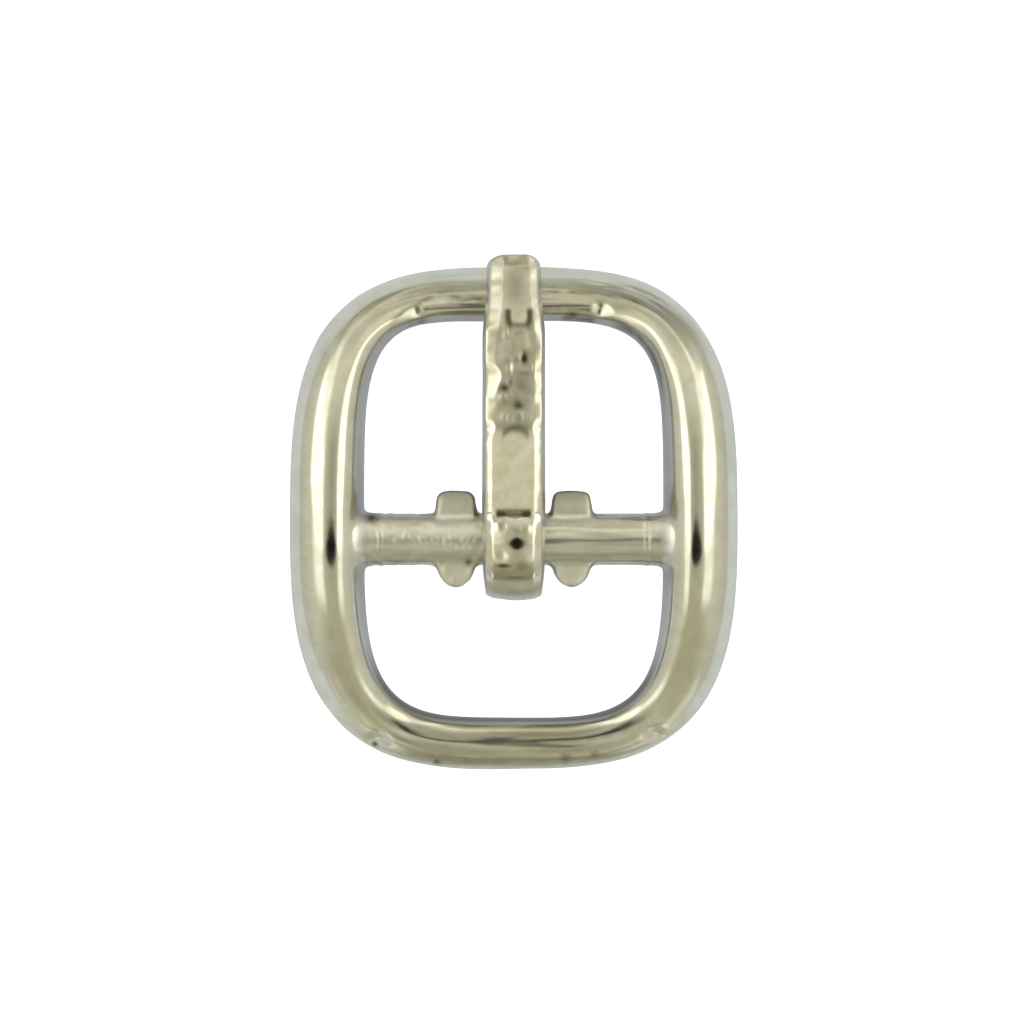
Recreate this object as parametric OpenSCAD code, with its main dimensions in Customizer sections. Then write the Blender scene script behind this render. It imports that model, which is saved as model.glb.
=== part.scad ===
// Center bar buckle for a 12.7 mm strap, lying on its back.
// The strap's width lies along X, the tongue points along +Y and the front faces +Z.
// The origin is at the middle of the buckle's outline, on the surface that it lies on.

/* [Strap] */
// Width of the strap that the buckle takes
strap_w = 12.7; // [12.3:0.1:13.2]
// Side play of the strap in the opening
strap_play = 0.5; // [0.3:0.1:0.7]

/* [Frame] */
// Length of the opening, along the strap
opening_l = 17.7; // [17.4:0.1:18.2]
// Squareness of the opening's corners at the tongue's tip, where 2 is an ellipse
opening_tip_n = 5; // [4:0.1:5.5]
// Squareness of the opening's corners at the heel
opening_heel_n = 4.2; // [3.8:0.1:5]
// Squareness of the outer outline, where 2 is an ellipse
outline_n = 3.2; // [2.8:0.1:3.4]
// Width of each side rail, seen from the front
side_rail_w = 3.3; // [3:0.1:3.6]
// Width of the end rail that the tongue rests on
rest_rail_w = 2.5; // [2.4:0.1:2.8]
// Width of the other end rail
heel_rail_w = 2.3; // [2.2:0.1:2.8]
// Thickness of the side rails at the bar
side_t = 2.8; // [2.7:0.1:3]
// Thickness of the end rails
end_t = 2.1; // [1.9:0.1:2.2]
// Height of the arch under the side rails
arch_h = 2; // [1.9:0.1:2.1]
// Share of a rail's width that lies between the opening and its crest
crest_share = 0.42; // [0.4:0.01:0.5]
// Share of a rail's thickness that is upright wall, under the dome
wall_share = 0.35; // [0.3:0.05:0.4]
// Squareness of the rails' front, where 2 is an ellipse
front_n = 2.3; // [2:0.1:2.6]
// Squareness of the rails' back, where 2 is round
back_n = 5; // [4:0.5:6]
// Depth that is filed off the back of the end rails to make their flats
flat_cut = 0.25; // [0.2:0.05:0.35]

/* [Centre bar] */
// Distance of the bar from the middle of the opening, towards the heel
bar_offset = 0.85; // [0.6:0.05:1]
// Height of the bar's axis above the surface
bar_z = 3.2; // [3.15:0.05:3.25]
// Diameter of the bar
bar_d = 2.3; // [2.1:0.1:2.4]
// Growth of the bar's radius where it meets the side rails
bar_swell = 0.1; // [0.05:0.05:0.15]
// Length of that growth
bar_swell_l = 0.8; // [0.5:0.1:1]
// Depth of the bar's ends in the side rails
bar_in_rail = 0.7; // [0.6:0.1:0.8]

/* [Stop tabs] */
// Distance between the tabs beside the tongue
tab_gap = 3.2; // [3.1:0.1:3.4]
// Width of a tab at its foot
tab_w = 1.75; // [1.6:0.05:1.8]
// Width of a tab's end on the tip's side of the bar
tab_tip_w = 1.4; // [1.2:0.1:1.5]
// Width of a tab's end on the heel's side of the bar
tab_heel_w = 0.9; // [0.8:0.1:1.2]
// Reach of a tab from the bar's axis
tab_reach = 2.15; // [1.9:0.05:2.2]
// Thickness of a tab
tab_t = 1.1; // [0.8:0.1:1.3]
// Radius of a tab's corners
tab_r = 0.35; // [0.2:0.05:0.4]

/* [Tongue] */
// Width of the tongue
tongue_w = 2.8; // [2.6:0.05:2.9]
// Width of the tongue at its tip
tip_w = 2.35; // [2.2:0.05:2.6]
// Diameter of the loop over the strip
loop_d = 5.4; // [5.2:0.05:5.4]
// Radial clearance of the loop on the bar
loop_play = 0.08; // [0.05:0.01:0.1]
// Distance of the crease in front of the loop from the bar's axis
crease_y = 1.2; // [1:0.1:1.4]
// Length of the flat panel in front of the crease
panel_l = 3.6; // [3.2:0.1:4]
// Slope of the flat panel, in degrees
panel_slope = 16; // [14:1:18]
// Thickness of the strip at the panel
panel_t = 1.35; // [1.2:0.05:1.4]
// Thickness of the strip where it bends down over the rail
bend_t = 1.15; // [1:0.05:1.2]
// Thickness of the strip at its tip
tip_t = 0.95; // [0.9:0.05:1]
// Reach of the tip past the rail that it rests on
tip_over = 0.4; // [0.2:0.05:0.6]
// Drop of the tip below the tongue's seat on the rail
tip_drop = 0.75; // [0.6:0.05:0.9]
// Gap between the resting tongue and its rail
rest_gap = 0.08; // [0.05:0.01:0.12]
// Width of the bevel along the tongue's front edges
bevel = 0.45; // [0.35:0.05:0.5]
// Radius of the tip's corners
tip_r = 0.4; // [0.3:0.05:0.45]
// Depth of the rounding on the tip's front edge
tip_edge = 0.3; // [0.2:0.05:0.35]

/* [Hidden] */
$fn = 96;

opening_w = strap_w + strap_play;
tip_end_y = opening_l / 2 + rest_rail_w + tip_over;
heel_end_y = -opening_l / 2 - heel_rail_w;
// The opening's middle, placed so that the whole buckle is centred on the origin
mid_y = -(tip_end_y + heel_end_y) / 2;
bar_y = mid_y - bar_offset;

// Distance from its middle to a superellipse, at angle a
function superellipse(rx, ry, n, a) =
    pow(pow(abs(cos(a)) / rx, n) + pow(abs(sin(a)) / ry, n), -1 / n);
function opening_r(a) = superellipse(
    opening_w / 2,
    opening_l / 2,
    sin(a) > 0 ? opening_tip_n : opening_heel_n, a);
function outline_r(a) = superellipse(
    opening_w / 2 + side_rail_w,
    opening_l / 2 + (sin(a) > 0 ? rest_rail_w : heel_rail_w),
    outline_n, a);

// Fall of the arch at a distance y from the opening's middle, from 0 at the bar to 1.
// It still slopes at the tongue's end rail, but runs out level at the heel.
function tip_fall(s) = s * s;
function heel_fall(s) = s * s * (2 - s * s);
function arch_fall(y) = y > -bar_offset
    ? tip_fall((y + bar_offset) / (opening_l / 2 + rest_rail_w + bar_offset))
    : heel_fall(min(1, (-y - bar_offset) / ((opening_l + heel_rail_w) / 2 - bar_offset)));
function back_z(y) = arch_h - (arch_h + flat_cut) * arch_fall(y);
function rail_t(y) = side_t - (side_t - end_t) * arch_fall(y);

// A rail's section at angle p: share of its width, from the opening outwards,
// and share of its thickness, from the back
function signed_pow(v, e) = sign(v) * pow(abs(v), e);
function across(p) =
    let (half_w = cos(p) > 0 ? crest_share : 1 - crest_share)
    crest_share - half_w * signed_pow(cos(p), 2 / (p < 180 ? front_n : back_n));
function height(p) = p < 180
    ? wall_share + (1 - wall_share) * pow(sin(p), 2 / front_n)
    : wall_share * (1 - pow(abs(sin(p)), 2 / back_n));

function ring_point(a, p) =
    let (r = opening_r(a) + (outline_r(a) - opening_r(a)) * across(p), y = r * sin(a))
    [r * cos(a), y, back_z(y) + rail_t(y) * height(p)];

// Triangles of a tube through rings of points, closed on itself or capped at both ends
function tube_faces(rings, sides, closed) = concat(
    [for (i = [0 : rings - (closed ? 1 : 2)], j = [0 : sides - 1], half = [0, 1])
        let (a = i * sides + j,
             b = i * sides + (j + 1) % sides,
             c = ((i + 1) % rings) * sides + j,
             d = ((i + 1) % rings) * sides + (j + 1) % sides)
        half == 0 ? [a, c, d] : [a, d, b]],
    closed ? [] : [
        [for (j = [0 : sides - 1]) j],
        [for (j = [sides - 1 : -1 : 0]) (rings - 1) * sides + j]]);

stations = 96;
section_points = 24;
module ring() {
    translate([0, mid_y, 0])
        polyhedron(
            points = [for (i = [0 : stations - 1], j = [0 : section_points - 1])
                ring_point(i * 360 / stations, j * 360 / section_points)],
            faces = tube_faces(stations, section_points, true));
}

below_w = 60;
below_h = 10;
module below_surface() {
    translate([0, 0, -below_h / 2])
        cube([below_w, below_w, below_h], center = true);
}

module bar_end() {
    end_d = bar_d + 2 * bar_swell;
    cylinder(d1 = bar_d, d2 = end_d, h = bar_swell_l);
    translate([0, 0, bar_swell_l])
        cylinder(d = end_d, h = bar_in_rail);
}

module centre_bar() {
    translate([0, bar_y, bar_z])
        rotate([0, 90, 0]) {
            cylinder(d = bar_d, h = opening_w, center = true);
            for (side = [0, 1])
                mirror([0, 0, side])
                    translate([0, 0, opening_w / 2 - bar_swell_l])
                        bar_end();
        }
}

// Outline of one tab, from the bar's axis to its rounded end
module tab_outline(end_w) {
    hull() {
        translate([-tab_w / 2, 0])
            square([tab_w, bar_d / 2]);
        for (side = [-1, 1])
            translate([side * (end_w / 2 - tab_r), tab_reach - tab_r])
                circle(r = tab_r, $fn = 24);
    }
}

module stop_tabs() {
    for (side = [0, 1])
        mirror([side, 0, 0])
            translate([(tab_gap + tab_w) / 2, bar_y, bar_z - tab_t / 2])
                linear_extrude(tab_t) {
                    tab_outline(tab_tip_w);
                    mirror([0, 1])
                        tab_outline(tab_heel_w);
                }
}

module frame() {
    color([0.74, 0.73, 0.67])
        union() {
            difference() {
                ring();
                below_surface();
            }
            centre_bar();
            stop_tabs();
        }
}

// Along the tongue, y is the distance from the bar's axis
seat_from_crest = 0.35;
bend_from_seat = 1.25;
bend_rise = 0.42;
seat_y = opening_l / 2 + rest_rail_w / 2 + bar_offset - seat_from_crest;
bend_y = seat_y - bend_from_seat;
tip_y = tip_end_y + bar_offset;
panel_end_y = crease_y + panel_l;
function strip_t(y) = lookup(y, [[crease_y, panel_t], [bend_y, bend_t], [tip_y, tip_t]]);

// The front line of the tongue starts on the loop and ends past the tip, over the rail
crease_z = bar_z + sqrt(pow(loop_d / 2, 2) - pow(crease_y, 2));
rail_top_z = max([for (p = [0 : 15 : 180]) ring_point(90, p)[2]]);
seat_z = rail_top_z + rest_gap + strip_t(seat_y);
tip_slope = tip_drop / (tip_y - seat_y);
front_line = [
    [0, crease_z + tan(panel_slope) * crease_y],
    [panel_end_y, crease_z - tan(panel_slope) * panel_l],
    [bend_y, seat_z + bend_rise],
    [seat_y, seat_z],
    [tip_y + 1, seat_z - tip_slope * (tip_y + 1 - seat_y)]];
side_line = [
    [0, tongue_w],
    [bend_y - 0.4, tongue_w],
    [seat_y, tip_w + 0.1],
    [tip_y + 1, tip_w]];

// A line's bends are rounded by averaging it over a short stretch
bend_half_l = 0.4;
bend_samples = [-1 : 0.25 : 1];
function rounded(y, line) =
    let (v = [for (k = bend_samples) lookup(y + k * bend_half_l, line)])
    v * [for (one = v) 1] / len(v);

// Towards the end of the tip its corners and its front edge are rounded
function end_round(y) = 1 - sqrt(1 - pow(min(1, max(0, y - tip_y + tip_r) / tip_r), 2));

front_crown = 0.06;
back_edge = 0.15;
function strip_section(y) =
    let (w = rounded(y, side_line) / 2 - tip_r * end_round(y),
         front = rounded(y, front_line),
         top = front - tip_edge * end_round(y),
         low = front - strip_t(y))
    [[-w, y, low + back_edge], [-w, y, top - bevel], [bevel - w, y, top - front_crown], [0, y, top],
     [w - bevel, y, top - front_crown], [w, y, top - bevel], [w, y, low + back_edge],
     [w - back_edge, y, low], [back_edge - w, y, low]];

shank_start_y = 0.5;
shank_step = 0.35;
shank_ys = concat(
    [for (y = [shank_start_y : shank_step : tip_y - tip_r - 0.1]) y],
    [for (a = [0 : 15 : 90]) tip_y - tip_r + tip_r * sin(a)]);
module shank() {
    sections = [for (y = shank_ys) strip_section(y)];
    polyhedron(
        points = [for (section = sections) each section],
        faces = tube_faces(len(sections), len(sections[0]), false));
}

module loop_barrel() {
    r = loop_d / 2;
    w = tongue_w / 2;
    rotate([0, 90, 0])
        rotate_extrude()
            polygon([[0, -w], [r - bevel, -w], [r, bevel - w], [r, w - bevel], [r - bevel, w], [0, w]]);
}

module loop_bore() {
    rotate([0, 90, 0])
        cylinder(d = bar_d + 2 * loop_play, h = tongue_w + 1, center = true);
}

module tongue() {
    color([0.80, 0.79, 0.71])
        translate([0, bar_y, 0])
            difference() {
                union() {
                    translate([0, 0, bar_z])
                        loop_barrel();
                    shank();
                }
                translate([0, 0, bar_z])
                    loop_bore();
            }
}

frame();
tongue();
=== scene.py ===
# %% [markdown]
# This lesson dresses a small center bar buckle for a 1/2 inch strap: a cast ring with a bar across its
# middle, and a tongue bent from a strip that hinges on the bar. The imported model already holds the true
# sizes, so it is loaded first as a fixed frame, and every new mesh is made to lie exactly where it is.
# %% Load the frame
import math

import bmesh
import bpy
from mathutils import Matrix, Vector, noise
from mathutils.bvhtree import BVHTree


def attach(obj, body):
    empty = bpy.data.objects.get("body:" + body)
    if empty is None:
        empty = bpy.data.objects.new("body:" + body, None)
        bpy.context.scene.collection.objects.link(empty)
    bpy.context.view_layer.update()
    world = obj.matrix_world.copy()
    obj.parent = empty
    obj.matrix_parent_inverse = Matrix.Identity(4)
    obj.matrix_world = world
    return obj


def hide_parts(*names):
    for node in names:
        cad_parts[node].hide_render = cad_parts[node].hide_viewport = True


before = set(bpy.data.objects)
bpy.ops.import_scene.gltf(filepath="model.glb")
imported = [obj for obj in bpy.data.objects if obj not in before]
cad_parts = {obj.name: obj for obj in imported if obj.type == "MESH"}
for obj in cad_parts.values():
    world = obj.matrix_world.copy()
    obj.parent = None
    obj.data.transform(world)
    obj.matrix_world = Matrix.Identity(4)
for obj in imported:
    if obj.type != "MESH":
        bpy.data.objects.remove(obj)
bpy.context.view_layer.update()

# %% [markdown]
# The real buckle is drawn in millimetres, so the whole lesson is too, and each finished mesh is scaled to
# metres in one place. The sizes are those of the solid model: a strap opening of 13.2 by 17.7 mm, side
# rails 3.3 mm wide, end rails 2.5 and 2.3 mm wide, and a bar of 2.3 mm. X runs along the bar, Y towards
# the tongue's tip and Z out of the front.
# %% Sizes of the buckle in millimetres
MM = 0.001
opening_w = 13.2
opening_l = 17.7
opening_tip_n = 5  # superellipse exponents: 2 is an ellipse, and a higher one is squarer
opening_heel_n = 4.2
outline_n = 3.2
side_rail_w = 3.3
tip_rail_w = 2.5
heel_rail_w = 2.3
side_t = 2.8  # thickness of the side rails
end_t = 2.1  # and of the end rails
crest_share = 0.42  # place of the crest across the rail, from the opening
wall_share = 0.35  # height of the widest place, from the back
front_n = 2.3  # roundness of the front, with the exponents as above
back_n = 5
arch_h = 2.0
flat_cut = 0.25  # filed off the back at both ends
bar_offset = 0.85  # from the ring's middle towards the heel
bar_z = 3.2
bar_r = 1.15
tip_overhang = 0.4  # of the tongue over the ring's outline
mid_y = (heel_rail_w - tip_rail_w - tip_overhang) / 2
bar_y = mid_y - bar_offset
print("the bar's axis lies at y", round(bar_y, 2), "and z", bar_z)

# %% [markdown]
# A colour is easiest to pick as the sRGB hex value that a picture program shows, but Blender's sockets
# take linear light. One function turns the first into the second. Another small function adds a node,
# sets it up and links it, so that a material reads from top to bottom like a recipe.
# %% Two helpers for colours and nodes


def linear(hex_colour):
    channels = [int(hex_colour[i:i + 2], 16) / 255 for i in (1, 3, 5)]
    curve = [c / 12.92 if c <= 0.04045 else ((c + 0.055) / 1.055) ** 2.4 for c in channels]
    return (*curve, 1.0)


def add_node(tree, kind, inputs=None, **settings):
    node = tree.nodes.new(kind)
    for name, value in settings.items():
        setattr(node, name, value)
    for name, value in (inputs or {}).items():
        if isinstance(value, bpy.types.NodeSocket):
            tree.links.new(value, node.inputs[name])
        else:
            node.inputs[name].default_value = value
    return node


print("mid grey #808080 is", round(linear("#808080")[0], 3), "in linear light")

# %% [markdown]
# Both pieces are nickel plated: a thin bright layer that shows every unevenness of the metal below it.
# The ring is a zinc casting that was tumbled and buffed before plating, so it mirrors almost cleanly.
# The tongue is pressed from steel strip and keeps faint rubbing marks. Nickel is a little warmer than
# chromium, which gives the eye its yellowish grey. A mirror has no look of its own, so the roughness
# varies slightly in soft clouds, and a very low bump wobbles the reflections. Real polishing marks are
# too fine to show, so both are drawn coarser, at about a millimetre. Three values that each mesh stores
# on its points are read by name: the first where the metal stays dull and its colour is darkened as
# painted shade, the second where the wheel has only brushed it, and the third where brown polish is
# left and where dark brown is painted as shade and as dark reflections. A Mix node's sockets go by
# number: 6 and 7 take colours and give output 2, and 2 and 3 take numbers and give output 0.
# %% Nickel plate
# The dull colour and the residue colour below also serve as painted shade and painted dark reflections.
unbuffed_and_shade_colour, unbuffed_roughness = "#c6c5be", 0.34
residue_and_painted_dark_colour = "#4c452f"
satin_roughness = 0.4
smoothest, roughest = 0.75, 1.35  # the clouds multiply the roughness by these and all between


def nickel(name, colour, worn_colour, roughness, cloud_mm, wobble_mm, wobble_height_mm):
    material = bpy.data.materials.new(name)
    material.use_nodes = True
    tree = material.node_tree
    shader = tree.nodes["Principled BSDF"]
    shader.inputs["Metallic"].default_value = 1.0
    place = add_node(tree, "ShaderNodeTexCoord").outputs["Object"]
    unbuffed_and_shade, satin, residue_and_painted_dark = [
        add_node(tree, "ShaderNodeAttribute", attribute_name=stored).outputs["Fac"]
        for stored in ("unbuffed_and_shade", "satin", "residue_and_painted_dark")]

    cloud = add_node(tree, "ShaderNodeTexNoise", {
        "Vector": place, "Scale": 1 / (cloud_mm * MM), "Detail": 4.0, "Roughness": 0.6})
    clouded_roughness = add_node(tree, "ShaderNodeMapRange", {
        "Value": cloud.outputs["Fac"], "From Min": 0.3, "From Max": 0.7,
        "To Min": smoothest * roughness, "To Max": roughest * roughness})
    dull_roughness = add_node(tree, "ShaderNodeMix", {
        "Factor": unbuffed_and_shade, 2: clouded_roughness.outputs[0], 3: unbuffed_roughness}, data_type="FLOAT")
    full_roughness = add_node(tree, "ShaderNodeMix", {
        "Factor": satin, 2: dull_roughness.outputs[0], 3: satin_roughness}, data_type="FLOAT")
    tree.links.new(full_roughness.outputs[0], shader.inputs["Roughness"])

    worn = add_node(tree, "ShaderNodeMapRange", {
        "Value": cloud.outputs["Fac"], "From Min": 0.35, "From Max": 0.65}).outputs[0]
    # Where the points say so, the tint turns darker: real dull metal and polish, and also painted shade and
    # painted dark reflections.
    tint = linear(colour)
    for share, other in ((worn, worn_colour), (unbuffed_and_shade, unbuffed_and_shade_colour), (residue_and_painted_dark, residue_and_painted_dark_colour)):
        tint = add_node(tree, "ShaderNodeMix", {
            "Factor": share, 6: tint, 7: linear(other)}, data_type="RGBA").outputs[2]
    tree.links.new(tint, shader.inputs["Base Color"])

    wobble = add_node(tree, "ShaderNodeTexNoise", {
        "Vector": place, "Scale": 1 / (wobble_mm * MM), "Detail": 2.0})
    bump = add_node(tree, "ShaderNodeBump", {
        "Height": wobble.outputs["Fac"], "Distance": wobble_height_mm * MM, "Strength": 1.0})
    tree.links.new(bump.outputs["Normal"], shader.inputs["Normal"])
    return material


casting = nickel("nickel_plated_zinc_die_casting", "#dedccc", "#d3d0b8", 0.12, 1.1, 0.9, 0.003)
strip = nickel("nickel_plated_pressed_steel_strip", "#e2dece", "#d0cab0", 0.1, 0.8, 0.7, 0.002)
print("materials:", casting.name, strip.name)

# %% [markdown]
# The ring's outline and its opening are superellipses: rounder than a rectangle, squarer than an
# ellipse. The ring is arched too, high at the bar and low at both ends, so that the strap can pass
# under it, and it runs out level at the heel. A few small formulas hold this shape, the same as in the
# solid model, and the last gives a point of the surface at station a and section angle p.
# %% The ring's shape as a formula


def superellipse(rx, ry, n, a):
    return (abs(math.cos(a) / rx) ** n + abs(math.sin(a) / ry) ** n) ** (-1 / n)


def signed_pow(v, e):
    return math.copysign(abs(v) ** e, v)


def arch_fall(y):
    if y > -bar_offset:
        return ((y + bar_offset) / (opening_l / 2 + tip_rail_w + bar_offset)) ** 2
    s = min(1.0, (-y - bar_offset) / ((opening_l + heel_rail_w) / 2 - bar_offset))
    return s * s * (2 - s * s)


def rail_edges(a):
    towards_tip = math.sin(a) > 0
    end_rail_w = tip_rail_w if towards_tip else heel_rail_w
    opening_n = opening_tip_n if towards_tip else opening_heel_n
    inner = superellipse(opening_w / 2, opening_l / 2, opening_n, a)
    outer = superellipse(opening_w / 2 + side_rail_w, opening_l / 2 + end_rail_w, outline_n, a)
    return inner, outer


def ring_point(a, p):
    inner, outer = rail_edges(a)
    front = math.sin(p) >= 0
    half_w = crest_share if math.cos(p) > 0 else 1 - crest_share
    across = crest_share - half_w * signed_pow(math.cos(p), 2 / (front_n if front else back_n))
    if front:
        height = wall_share + (1 - wall_share) * math.sin(p) ** (2 / front_n)
    else:
        height = wall_share * (1 - abs(math.sin(p)) ** (2 / back_n))
    r = inner + (outer - inner) * across
    y = r * math.sin(a)
    back = arch_h - (arch_h + flat_cut) * arch_fall(y)
    thickness = side_t - (side_t - end_t) * arch_fall(y)
    return Vector((r * math.cos(a), y + mid_y, max(0.0, back + thickness * height)))


print("highest point of the ring in mm:", round(ring_point(0, math.pi / 2).z, 2))

# %% [markdown]
# A ring can be lofted, swept along a curve, or spun. Here a circle of 24 points is spun in 96 steps to a
# plain doughnut, which gives even rings of faces and no seam, and then each point is moved to its
# real place by the formula. The mesh is a coarse control cage, and a subdivision surface rounds it later.
# The faces where the bar will come in are picked while the doughnut is still plain, because its angles
# tell where each face lies.
# %% Spin a doughnut and give it the ring's shape
SIDES = 24
STATIONS = 96
tube_r = 0.5
spin_r = 1.5
quarter_turn = math.pi / 2
step = 2 * math.pi / STATIONS
bar_stations = (-2 * step, math.pi + 2 * step)
seat_half_l = 3 * step
seat_half_section = math.radians(45)

casting_cage = bmesh.new()
bmesh.ops.create_circle(casting_cage, segments=SIDES, radius=tube_r)
bmesh.ops.rotate(casting_cage, verts=casting_cage.verts, cent=(0, 0, 0),
                 matrix=Matrix.Rotation(quarter_turn, 3, "X"))
bmesh.ops.translate(casting_cage, verts=casting_cage.verts, vec=(spin_r, 0, 0))
bmesh.ops.spin(casting_cage, geom=casting_cage.verts[:] + casting_cage.edges[:], cent=(0, 0, 0),
               axis=(0, 0, 1), angle=2 * math.pi, steps=STATIONS, use_merge=True)
bmesh.ops.remove_doubles(casting_cage, verts=casting_cage.verts, dist=1e-4)


def station_and_section(co):
    return math.atan2(co.y, co.x), math.atan2(co.z, spin_r - math.hypot(co.x, co.y))


def turn(a, b):
    return abs((a - b + math.pi) % (2 * math.pi) - math.pi)


def in_seat(face, seat_station):
    station, section = station_and_section(face.calc_center_median())
    return turn(station, seat_station) < seat_half_l and abs(section) < seat_half_section


seat_faces = [[f for f in casting_cage.faces if in_seat(f, station)] for station in bar_stations]
for vert in casting_cage.verts:
    vert.co = ring_point(*station_and_section(vert.co))
bmesh.ops.recalc_face_normals(casting_cage, faces=casting_cage.faces)
ring_surface = BVHTree.FromBMesh(casting_cage)
print("ring cage:", len(casting_cage.faces), "faces, seats of the bar:", [len(f) for f in seat_faces])

# %% [markdown]
# On the casting the bar grows out of the side rails in a small fillet. Where two bodies melt into each
# other like this, the mesh is opened on both sides and the openings are bridged, which leaves one
# closed skin. The openings are rounded to lie a little outside the bar, on the rail's own surface,
# which a ray from the middle finds.
# %% Open the ring where the bar comes in
fillet = 0.18
back_margin = 0.12  # the openings stay this far from the rail's back
front_margin = 0.3  # and from its front

for faces in seat_faces:
    bmesh.ops.delete(casting_cage, geom=faces, context="FACES")
rim = [vert for vert in casting_cage.verts if vert.is_boundary]
for vert in rim:
    arm = Vector((vert.co.y - bar_y, vert.co.z - bar_z)).normalized() * (bar_r + fillet)
    z = min(max(bar_z + arm.y, arch_h + back_margin), arch_h + side_t - front_margin)
    outwards = Vector((math.copysign(1, vert.co.x), 0, 0))
    vert.co = ring_surface.ray_cast(Vector((0, bar_y + arm.x, z)), outwards)[0]
print("points round the two seats:", len(rim))

# %% [markdown]
# The real bar is a plain round rod. A tube without ends is enough for it, because the ring will close
# it. It is cut into short rings, so that it can carry stop tabs and an uneven skin.
# %% The centre bar
bar_end_x = 5.95
bar_rings = 28

bar_tube = bmesh.ops.create_cone(casting_cage, cap_ends=False, segments=SIDES, radius1=bar_r,
                                 radius2=bar_r, depth=2 * bar_end_x)["verts"]
bmesh.ops.rotate(casting_cage, verts=bar_tube, cent=(0, 0, 0),
                 matrix=Matrix.Rotation(quarter_turn, 3, "Y"))
bmesh.ops.translate(casting_cage, verts=bar_tube, vec=(0, bar_y, bar_z))


def on_bar(co):
    return abs(co.x) < bar_end_x + 0.01 and abs(co.y - bar_y) < 2 * bar_r


def span_x(edge):
    return abs(edge.verts[0].co.x - edge.verts[1].co.x)


long_edges = [e for e in casting_cage.edges if on_bar(e.verts[0].co) and span_x(e) > bar_end_x]
bmesh.ops.subdivide_edges(casting_cage, edges=long_edges, cuts=bar_rings - 1, use_grid_fill=True)
print("bar:", sum(on_bar(f.calc_center_median()) for f in casting_cage.faces), "faces")

# %% [markdown]
# Between each end of the tube and its seat in the rail lies the fillet of the casting. A bridge of faces
# from rim to rim closes the gap. Two cuts through the bridge are then drawn in towards the bar, which
# turns the straight funnel into a hollow curve.
# %% Bridge the bar to the rails
fillet_hollow = 0.45
shortest_spoke = 0.2

for side in (1, -1):
    rims = [e for e in casting_cage.edges if e.is_boundary and side * e.verts[0].co.x > 0]
    bridged = bmesh.ops.bridge_loops(casting_cage, edges=rims)
    spokes = [e for e in bridged["edges"] if span_x(e) > shortest_spoke]
    cut = bmesh.ops.subdivide_edges(casting_cage, edges=spokes, cuts=2, use_grid_fill=True)
    for vert in {g for g in cut["geom_inner"] if isinstance(g, bmesh.types.BMVert)}:
        arm = Vector((vert.co.y - bar_y, vert.co.z - bar_z))
        arm = arm.normalized() * (arm.length - fillet_hollow * max(0.0, arm.length - bar_r))
        vert.co = (vert.co.x, bar_y + arm.x, bar_z + arm.y)
print("open edges left:", sum(e.is_boundary for e in casting_cage.edges))

# %% [markdown]
# Four small tabs stand out from the bar, two towards the tip and two towards the heel, and keep the
# tongue in its middle. They could be boxes joined to the bar, but the casting has them in one piece, so
# each is pulled out of the bar's own faces. Those towards the tip are nearly square, and those towards
# the heel narrower and rounded. The faces they grew from would stay inside as a wall, so they go.
# %% The four stop tabs
tab_inner_x = 1.6
tab_outer_x = 3.35
tab_reach = 2.15
tab_half_t = 0.55
tab_half_angle = math.radians(30)
tab_tip_share = {1: 1.05, -1: 0.85}  # share of the width at the tab's end; 1: tip side, -1: heel side
tab_tip_round = {1: 0.12, -1: 0.45}
tab_tip_half_t = {1: 0.5, -1: 0.36}


def in_tab(co, side, way):
    facing = turn(math.atan2(co.z - bar_z, co.y - bar_y), 0 if way == 1 else math.pi)
    return on_bar(co) and tab_inner_x < side * co.x < tab_outer_x and facing < tab_half_angle


tabs = [(way, [f for f in casting_cage.faces if in_tab(f.calc_center_median(), side, way)])
        for side in (1, -1) for way in (1, -1)]
for way, roots in tabs:
    xs = [v.co.x for f in roots for v in f.verts]
    middle_x, half_w = (min(xs) + max(xs)) / 2, (max(xs) - min(xs)) / 2
    grown = bmesh.ops.extrude_face_region(casting_cage, geom=roots)
    for vert in [g for g in grown["geom"] if isinstance(g, bmesh.types.BMVert)]:
        sideways = (vert.co.x - middle_x) / half_w
        upwards = max(-1.0, min(1.0, (vert.co.z - bar_z) / tab_half_t))
        vert.co = (middle_x + sideways * tab_tip_share[way] * half_w,
                   bar_y + way * (tab_reach - tab_tip_round[way] * sideways ** 2),
                   bar_z + upwards * tab_tip_half_t[way])
    bmesh.ops.delete(casting_cage, geom=[f for f in roots if f.is_valid], context="FACES")
print("tabs:", len(tabs), "open edges:", sum(e.is_boundary for e in casting_cage.edges),
      "not manifold:", sum(not e.is_manifold for e in casting_cage.edges))

# %% [markdown]
# A finished mesh is wrapped in an object, scaled to metres and left at the origin, as every piece of
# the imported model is. Before that, the cage goes through a subdivision surface. Its result is taken as
# the mesh, because the last touches are made on the fine points.
# %% From a cage to a smooth piece


def subdivided(bm, levels):
    mesh = bpy.data.meshes.new("cage")
    bm.to_mesh(mesh)
    bm.free()
    cage = bpy.data.objects.new("cage", mesh)
    bpy.context.scene.collection.objects.link(cage)
    modifier = cage.modifiers.new("round", "SUBSURF")
    modifier.levels = levels
    modifier.render_levels = levels
    fine = bmesh.new()
    fine.from_object(cage, bpy.context.evaluated_depsgraph_get())
    bpy.data.objects.remove(cage)
    return fine


def make_piece(bm, name, material):
    mesh = bpy.data.meshes.new(name)
    bmesh.ops.recalc_face_normals(bm, faces=bm.faces)
    bm.to_mesh(mesh)
    bm.free()
    mesh.transform(Matrix.Scale(MM, 4))
    mesh.materials.append(material)
    for polygon in mesh.polygons:
        polygon.use_smooth = True
    piece = bpy.data.objects.new(name, mesh)
    bpy.context.scene.collection.objects.link(piece)
    return piece


casting_skin = subdivided(casting_cage, 2)
print("casting:", len(casting_skin.faces), "faces")

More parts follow.
